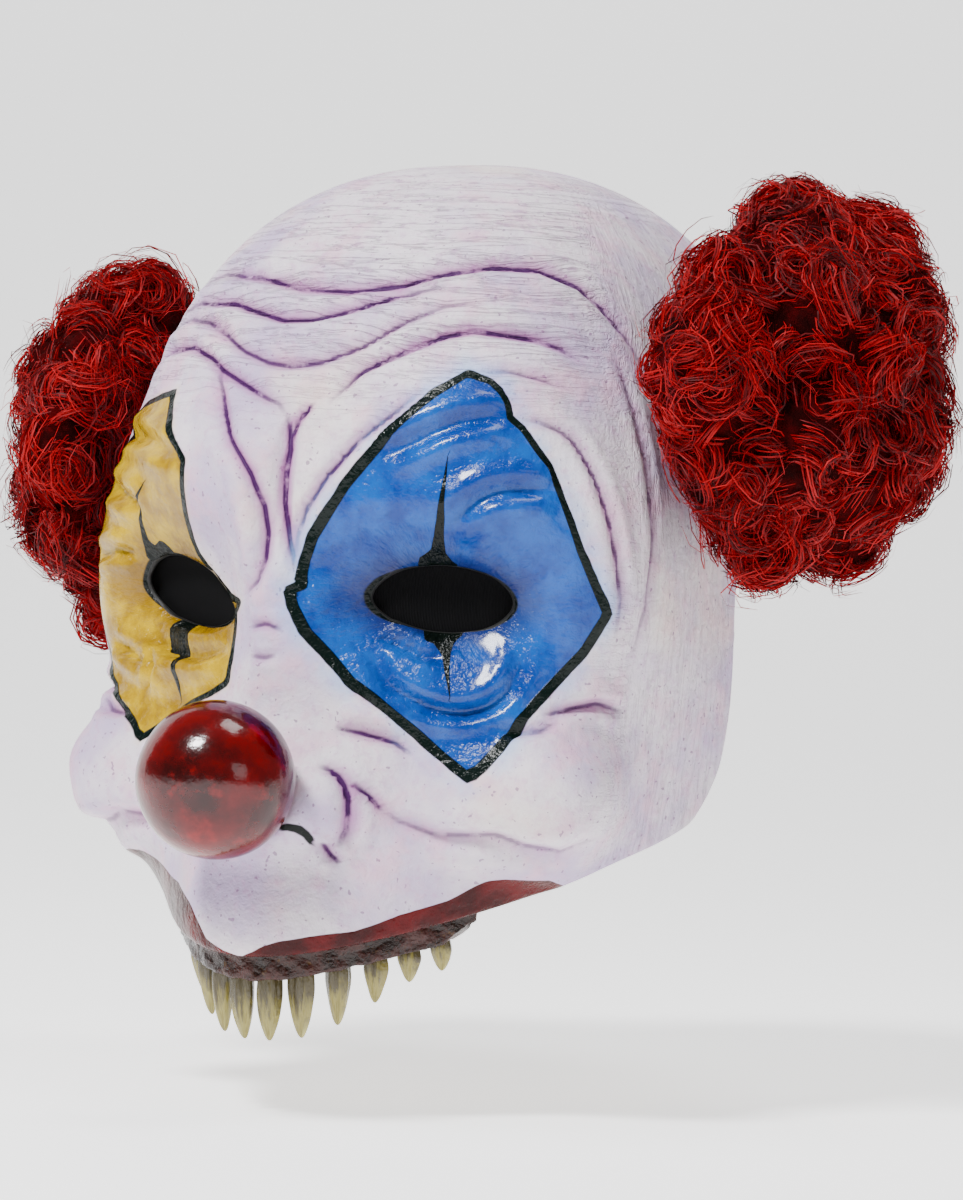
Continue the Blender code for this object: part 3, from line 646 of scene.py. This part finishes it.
# %% Nose ball
nose = copy_of("nose_ball", "nose_gloss")
low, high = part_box("nose_ball")
centre = (np.array(low) + np.array(high)) / 2
radius = (high.x - low.x) / 2
apply(nose, "SUBSURF", levels=3, render_levels=3)
way = read(nose.data.vertices, "co") - centre
way /= np.linalg.norm(way, axis=1)[:, None]
uneven = np.sin(way @ (3.1, 2.3, 4.2)) * np.sin(way @ (-2.7, 4.4, 1.9) + 1)
put(nose, centre + way * (radius * (1 + 0.006 * uneven[:, None])))
net = Net("red_lacquer", 0.13)
tone = net.noise(45, 5, 0.6)
streak = net.noise(160, 4, 0.65)
red_ball = net.mix(tone.step(0.34, 0.66), (0.016, 0.0, 0.0), (0.12, 0.0, 0.001))
red_ball = net.mix(streak.step(0.55, 0.75) * 0.35, red_ball, (0.34, 0.003, 0.004))
net.feed("Base Color", red_ball)
net.feed("Roughness", 0.08 + streak * 0.14)
net.bump((tone - 0.5) * 0.5 + (streak - 0.5) * 0.08)
net.set(Specular_IOR_Level=0.45)
finish(nose, "root", net.material, "red_nose", "nose_ball")
print("nose radius", round(radius * 1000, 1), "mm")

# %% [markdown]
# ## Gum and teeth
# The gum is remeshed into an even skin and roughened, so it looks wet and fleshy. Each
# tooth is its CAD cage subdivided, with lengthwise flutes pressed in, a dark root and an
# ivory tip.

# %% Gum
gum = copy_of("upper_gum", "wet_gum")
apply(gum, "REMESH", mode="VOXEL", voxel_size=0.0006)
apply(gum, "SMOOTH", factor=0.5, iterations=3)
gum_at = read(gum.data.vertices, "co")
gum_out = read(gum.data.vertices, "normal")
end = np.clip(np.abs(gum_at[:, 0]) / np.abs(gum_at[:, 0]).max() - 0.86, 0, 1) / 0.14
gum_at[:, 2] += 0.006 * end * (1 - gum_out[:, 2]) / 2
ripple = np.sin(gum_at[:, 0] * 900 + np.sin(gum_at[:, 2] * 700) * 1.5) * np.sin(gum_at[:, 2] * 620 + 1)
put(gum, gum_at + gum_out * (0.00025 * ripple[:, None]))
net = Net("gum_flesh", 0.2)
tone = net.noise(160, 5, 0.65)
gum_red = net.mix(tone.step(0.35, 0.68), (0.010, 0.004, 0.002), (0.045, 0.008, 0.005))
gum_red = net.mix(net.noise(420, 3, 0.6).step(0.60, 0.75) * 0.5, gum_red, (0.12, 0.06, 0.015))
net.feed("Base Color", gum_red)
net.feed("Roughness", 0.12 + tone * 0.2)
net.bump((tone - 0.5) * 1.6 + (net.noise(700, 3, 0.6) - 0.5) * 0.4)
net.set(Specular_IOR_Level=0.35)
finish(gum, "root", net.material, "dark_gum", "upper_gum")
print("gum:", len(gum.data.polygons), "faces")

# %% Teeth
net = Net("stained_tooth", 0.25)
root = net.number("root")
spread = net.vector(net.number("flute") * 2.2, root * 2.0, net.number("tooth") * 7.0)
stain = net.noise(1, 4, 0.65, spread)
bone = net.mix(stain.step(0.35, 0.7), (0.22, 0.18, 0.03), (0.46, 0.41, 0.13))
bone = net.mix(stain.step(0.46, 0.60) * root.step(0.05, 0.4) * 0.85, bone, (0.16, 0.13, 0.03))
gloom = (root + (stain - 0.5) * 1.2).step(0.32, 0.68)
bone = net.mix(gloom * 0.9, bone, (0.040, 0.028, 0.010))
net.feed("Base Color", bone)
net.feed("Roughness", 0.16 + stain * 0.2)
net.bump((stain - 0.5) * 0.9)
net.set(Specular_IOR_Level=0.5)
tooth_paint = net.material
for number, node in enumerate(sorted(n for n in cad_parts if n.startswith("tooth_"))):
    tooth = copy_of(node, node.replace("tooth", "fang"))
    apply(tooth, "SUBSURF", levels=3, render_levels=3)
    spot = read(tooth.data.vertices, "co")
    low, high = np.array(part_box(node)[0]), np.array(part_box(node)[1])
    share = (spot[:, 2] - low[2]) / (high[2] - low[2])
    tip = spot[share < share.min() + 0.06].mean(0)
    neck = spot[share > share.max() - 0.1].mean(0)
    axis = tip[:2] + share[:, None] * (neck - tip)[:2]
    arm = spot[:, :2] - axis
    angle = np.arctan2(arm[:, 1], arm[:, 0])
    flute = 1 + 0.10 * np.sin(angle * 5 + number * 1.7) * np.clip(share * 1.6, 0, 1)
    broad = 1.12 + 0.14 * share + 0.05 * np.sin(share * 7 + number)
    spot[:, :2] = axis + arm * (flute * broad)[:, None]
    bottom = spot[:, 2] < low[2] + 0.004
    spot[bottom, 2] -= 0.0006 * (1 - (spot[bottom, 2] - low[2]) / 0.004)
    put(tooth, spot)
    store(tooth, "root", share)
    store(tooth, "flute", np.cos(angle))
    store(tooth, "tooth", np.full(len(spot), number / 12))
    finish(tooth, "root", tooth_paint, "yellow_tooth", node)
print("12 teeth")

# %% [markdown]
# ## Hair tufts
# Each tuft is a core in the lobed shape of its CAD solid, coloured a darker red as painted
# shade for the depths between the curls, under thousands of thin curled strands. The strands
# come in locks that share one coil, so they read as ringlets. They are computed as arrays,
# since no brush or modifier is needed for a coil.


# %% Core and curls
STRAND_STEPS = 15
STRAND_HALF = 0.0002


def strands(name, locks, per_lock, turns):
    """A joined mesh of ribbon strands. locks holds (place, outward, axis, coil radius)."""
    steps = STRAND_STEPS
    t = np.linspace(0, 1, steps)
    place, out, axis, coil = locks
    place, out, axis = (np.repeat(a, per_lock, 0) for a in (place, out, axis))
    count = len(place)
    coil = np.repeat(coil, per_lock) * RNG.uniform(0.78, 1.2, count)
    spin = np.repeat(RNG.uniform(0, math.tau, count // per_lock), per_lock)
    spin = spin + RNG.normal(0, 0.35, count)
    hand = np.repeat(RNG.choice([-1.0, 1.0], count // per_lock), per_lock)
    side = np.cross(axis, out)
    side /= np.linalg.norm(side, axis=1)[:, None] + 1e-9
    other = np.cross(side, axis)
    place = place + RNG.normal(0, 0.0007, (count, 3))
    angle = spin[:, None] + hand[:, None] * t * math.tau * (turns * RNG.uniform(0.75, 1.25, count))[:, None]
    size = coil[:, None] * (1 + 0.25 * np.sin(t * 5 + spin[:, None]))
    radial = np.cos(angle)[..., None] * side[:, None] + np.sin(angle)[..., None] * other[:, None]
    climb = (t - 0.5) * (RNG.uniform(0.4, 2.0, count) * coil)[:, None]
    path = place[:, None] + radial * size[..., None] + axis[:, None] * climb[..., None]
    tilt = RNG.uniform(0, math.pi, count)[:, None] + t * 1.5
    flat = np.cos(tilt)[..., None] * axis[:, None] + np.sin(tilt)[..., None] * radial
    half = (STRAND_HALF * np.sin(np.clip(t * 0.94 + 0.05, 0, 1) * math.pi) ** 0.5)[None, :, None]
    both = np.stack([path - flat * half, path + flat * half], 2).reshape(-1, 3)
    first = (np.arange(count)[:, None] * steps + np.arange(steps - 1)[None]) * 2
    quads = np.stack([first, first + 1, first + 3, first + 2], -1).reshape(-1)
    mesh = bpy.data.meshes.new(name)
    mesh.vertices.add(len(both))
    mesh.vertices.foreach_set("co", both.astype(np.float32).ravel())
    mesh.loops.add(len(quads))
    mesh.loops.foreach_set("vertex_index", quads.astype(np.int32))
    mesh.polygons.add(len(quads) // 4)
    mesh.polygons.foreach_set("loop_start", np.arange(0, len(quads), 4, dtype=np.int32))
    mesh.update()
    piece = bpy.data.objects.new(name, mesh)
    bpy.context.scene.collection.objects.link(piece)
    store(piece, "shade", np.repeat(RNG.uniform(0, 1, count), steps * 2))
    return piece


# The core is a darker copy of the curls' red: painted shade in the depths between the curls.
net = Net("hair_core", 0.9)
net.set(Specular_IOR_Level=0.05)
tone = net.noise(140, 4, 0.6)
net.feed("Base Color", net.mix(tone.step(0.35, 0.7), (0.012, 0.0, 0.0), (0.06, 0.0, 0.001)))
net.bump((net.noise(900, 4, 0.7) - 0.5) * 1.5)
core_shade_red = net.material
net = Net("hair_curl", 0.55)
shade = net.number("shade")
patch = net.noise(38, 3, 0.6)
curl = net.mix((shade * 0.6 + patch * 0.7).step(0.30, 0.95), (0.035, 0.0, 0.001), (0.34, 0.0, 0.003))
net.feed("Base Color", curl)
net.set(Specular_IOR_Level=0.15)
curl_red = net.material

LOCKS = 330
BATCHES = (
    # share of ringlets that stand out, strands a lock, turns of the coil
    (0.65, 18, 1.7),
    (0.20, 18, 1.5),
)
for node, label in (("hair_tuft_left", "left"), ("hair_tuft_right", "right")):
    core = copy_of(node, f"hair_core_{label}")
    apply(core, "SUBSURF", levels=2, render_levels=2)
    spot = read(core.data.vertices, "co")
    out = read(core.data.vertices, "normal")
    rough = np.sin(spot @ (900, 300, 500)) * np.sin(spot @ (-400, 800, 600))
    put(core, spot + out * ((-0.0016 + 0.0008 * rough)[:, None]))
    finish(core, "root", core_shade_red, "red_hair", node)
    area = np.array([p.area for p in core.data.polygons])
    spots = read(core.data.polygons, "center")
    facing = read(core.data.polygons, "normal")
    hand = 1 if label == "left" else -1
    shown = (facing[:, 0] * hand > -0.45) | (np.abs(spots[:, 0]) > 0.079)
    chance = np.where(shown, area, 0)
    chance /= chance.sum()
    for batch, (ringed, per_lock, turns) in enumerate(BATCHES):
        pick = RNG.choice(len(spots), LOCKS, p=chance)
        place, outward = spots[pick], facing[pick]
        wild = RNG.normal(0, 1, (LOCKS, 3))
        wild -= outward * (wild * outward).sum(1)[:, None]
        wild /= np.linalg.norm(wild, axis=1)[:, None]
        mostly = (RNG.uniform(0, 1, LOCKS) < ringed)[:, None]
        axis = np.where(mostly, outward + wild * 0.35, wild + outward * 0.3)
        axis /= np.linalg.norm(axis, axis=1)[:, None]
        coil = RNG.uniform(0.0032, 0.0072, LOCKS)
        place = place - outward * (coil * np.where(mostly[:, 0], 0.15, 0.75))[:, None]
        side = np.cross(axis, outward)
        flip = np.linalg.norm(side, axis=1) < 0.05
        outward = np.where(flip[:, None], wild, outward)
        lock = strands(f"hair_curls_{label}_{batch + 1}", (place, outward, axis, coil), per_lock, turns)
        finish(lock, "root", curl_red, "red_hair")
        print(lock.name, len(lock.data.polygons) * 2, "triangles")

# %% [markdown]
# ## Studio
# A pale floor that curves up into a wall has no horizon. Broad soft lights stand to the
# left, to the right and above, and the camera looks from the photograph's angle.

# %% Floor, lights and camera
FLOOR_Z = -0.245
FLOOR_WIDE = 10
FLOOR_RUN = 9
FLOOR_NEAR = 3
WALL_START = 1.6
bpy.ops.mesh.primitive_grid_add(x_subdivisions=2, y_subdivisions=60, size=1)
floor = bpy.context.object
floor.name = "studio_floor"
flat = read(floor.data.vertices, "co")
run = (flat[:, 1] + 0.5) * FLOOR_RUN - FLOOR_NEAR
bend = 1.2
angle = np.clip((run - WALL_START) / bend, 0, math.pi / 2)
wall = np.clip(run - WALL_START - bend * math.pi / 2, 0, None)
y = np.minimum(run, WALL_START) + bend * np.sin(angle)
z = FLOOR_Z + bend * (1 - np.cos(angle)) + wall
turn_stage = math.radians(27)
x = flat[:, 0] * FLOOR_WIDE
put(floor, np.stack([x * math.cos(turn_stage) - y * math.sin(turn_stage),
                     x * math.sin(turn_stage) + y * math.cos(turn_stage), z], 1))
net = Net("paper_floor", 0.7)
net.feed("Base Color", net.mix(net.noise(9, 3, 0.5), (0.90, 0.90, 0.91), (0.93, 0.93, 0.93)))
net.set(Emission_Color=(1, 1, 1, 1), Emission_Strength=1.1)
floor.data.materials.append(net.material)
only(floor)
bpy.ops.object.shade_smooth()


def area_light(name, place, target, size, power):
    """A square soft light that points at a target."""
    lamp = bpy.data.lights.new(name, "AREA")
    lamp.shape = "SQUARE"
    lamp.size = size
    lamp.energy = power
    lit = bpy.data.objects.new(name, lamp)
    bpy.context.scene.collection.objects.link(lit)
    lit.location = place
    lit.rotation_euler = (Vector(target) - Vector(place)).to_track_quat("-Z", "Y").to_euler()


LOOK = (0, -0.03, -0.11)
area_light("key", (-0.2, -1.0, 1.05), LOOK, 0.3, 40)
area_light("fill", (1.35, -0.75, 0.25), LOOK, 0.5, 2)
area_light("top", (0.3, 0.0, 1.3), LOOK, 0.5, 8)
world = bpy.data.worlds.new("studio_air")
world.use_nodes = True
world.node_tree.nodes["Background"].inputs["Color"].default_value = (1, 1, 1, 1)
world.node_tree.nodes["Background"].inputs["Strength"].default_value = 0.2
bpy.context.scene.world = world

yaw, pitch, roll = (math.radians(a) for a in (27.3, -0.3, 2.3))
back = Vector((math.sin(yaw) * math.cos(pitch), -math.cos(yaw) * math.cos(pitch), math.sin(pitch)))
right = Vector((math.cos(yaw), math.sin(yaw), 0))
upward = back.cross(right)
right, upward = (right * math.cos(roll) + upward * math.sin(roll),
                 upward * math.cos(roll) - right * math.sin(roll))
lens = bpy.data.cameras.new("camera")
lens.lens = 4513 / 1200 * 36
camera = bpy.data.objects.new("camera", lens)
bpy.context.scene.collection.objects.link(camera)
eye = right * 0.0096 + upward * 0.0006 + back * 1.2 - Vector((0, 0.024, 0.1156))
camera.matrix_world = Matrix((right, upward, back)).transposed().to_4x4()
camera.location = eye
bpy.context.scene.camera = camera
print("camera at", [round(v, 3) for v in eye])
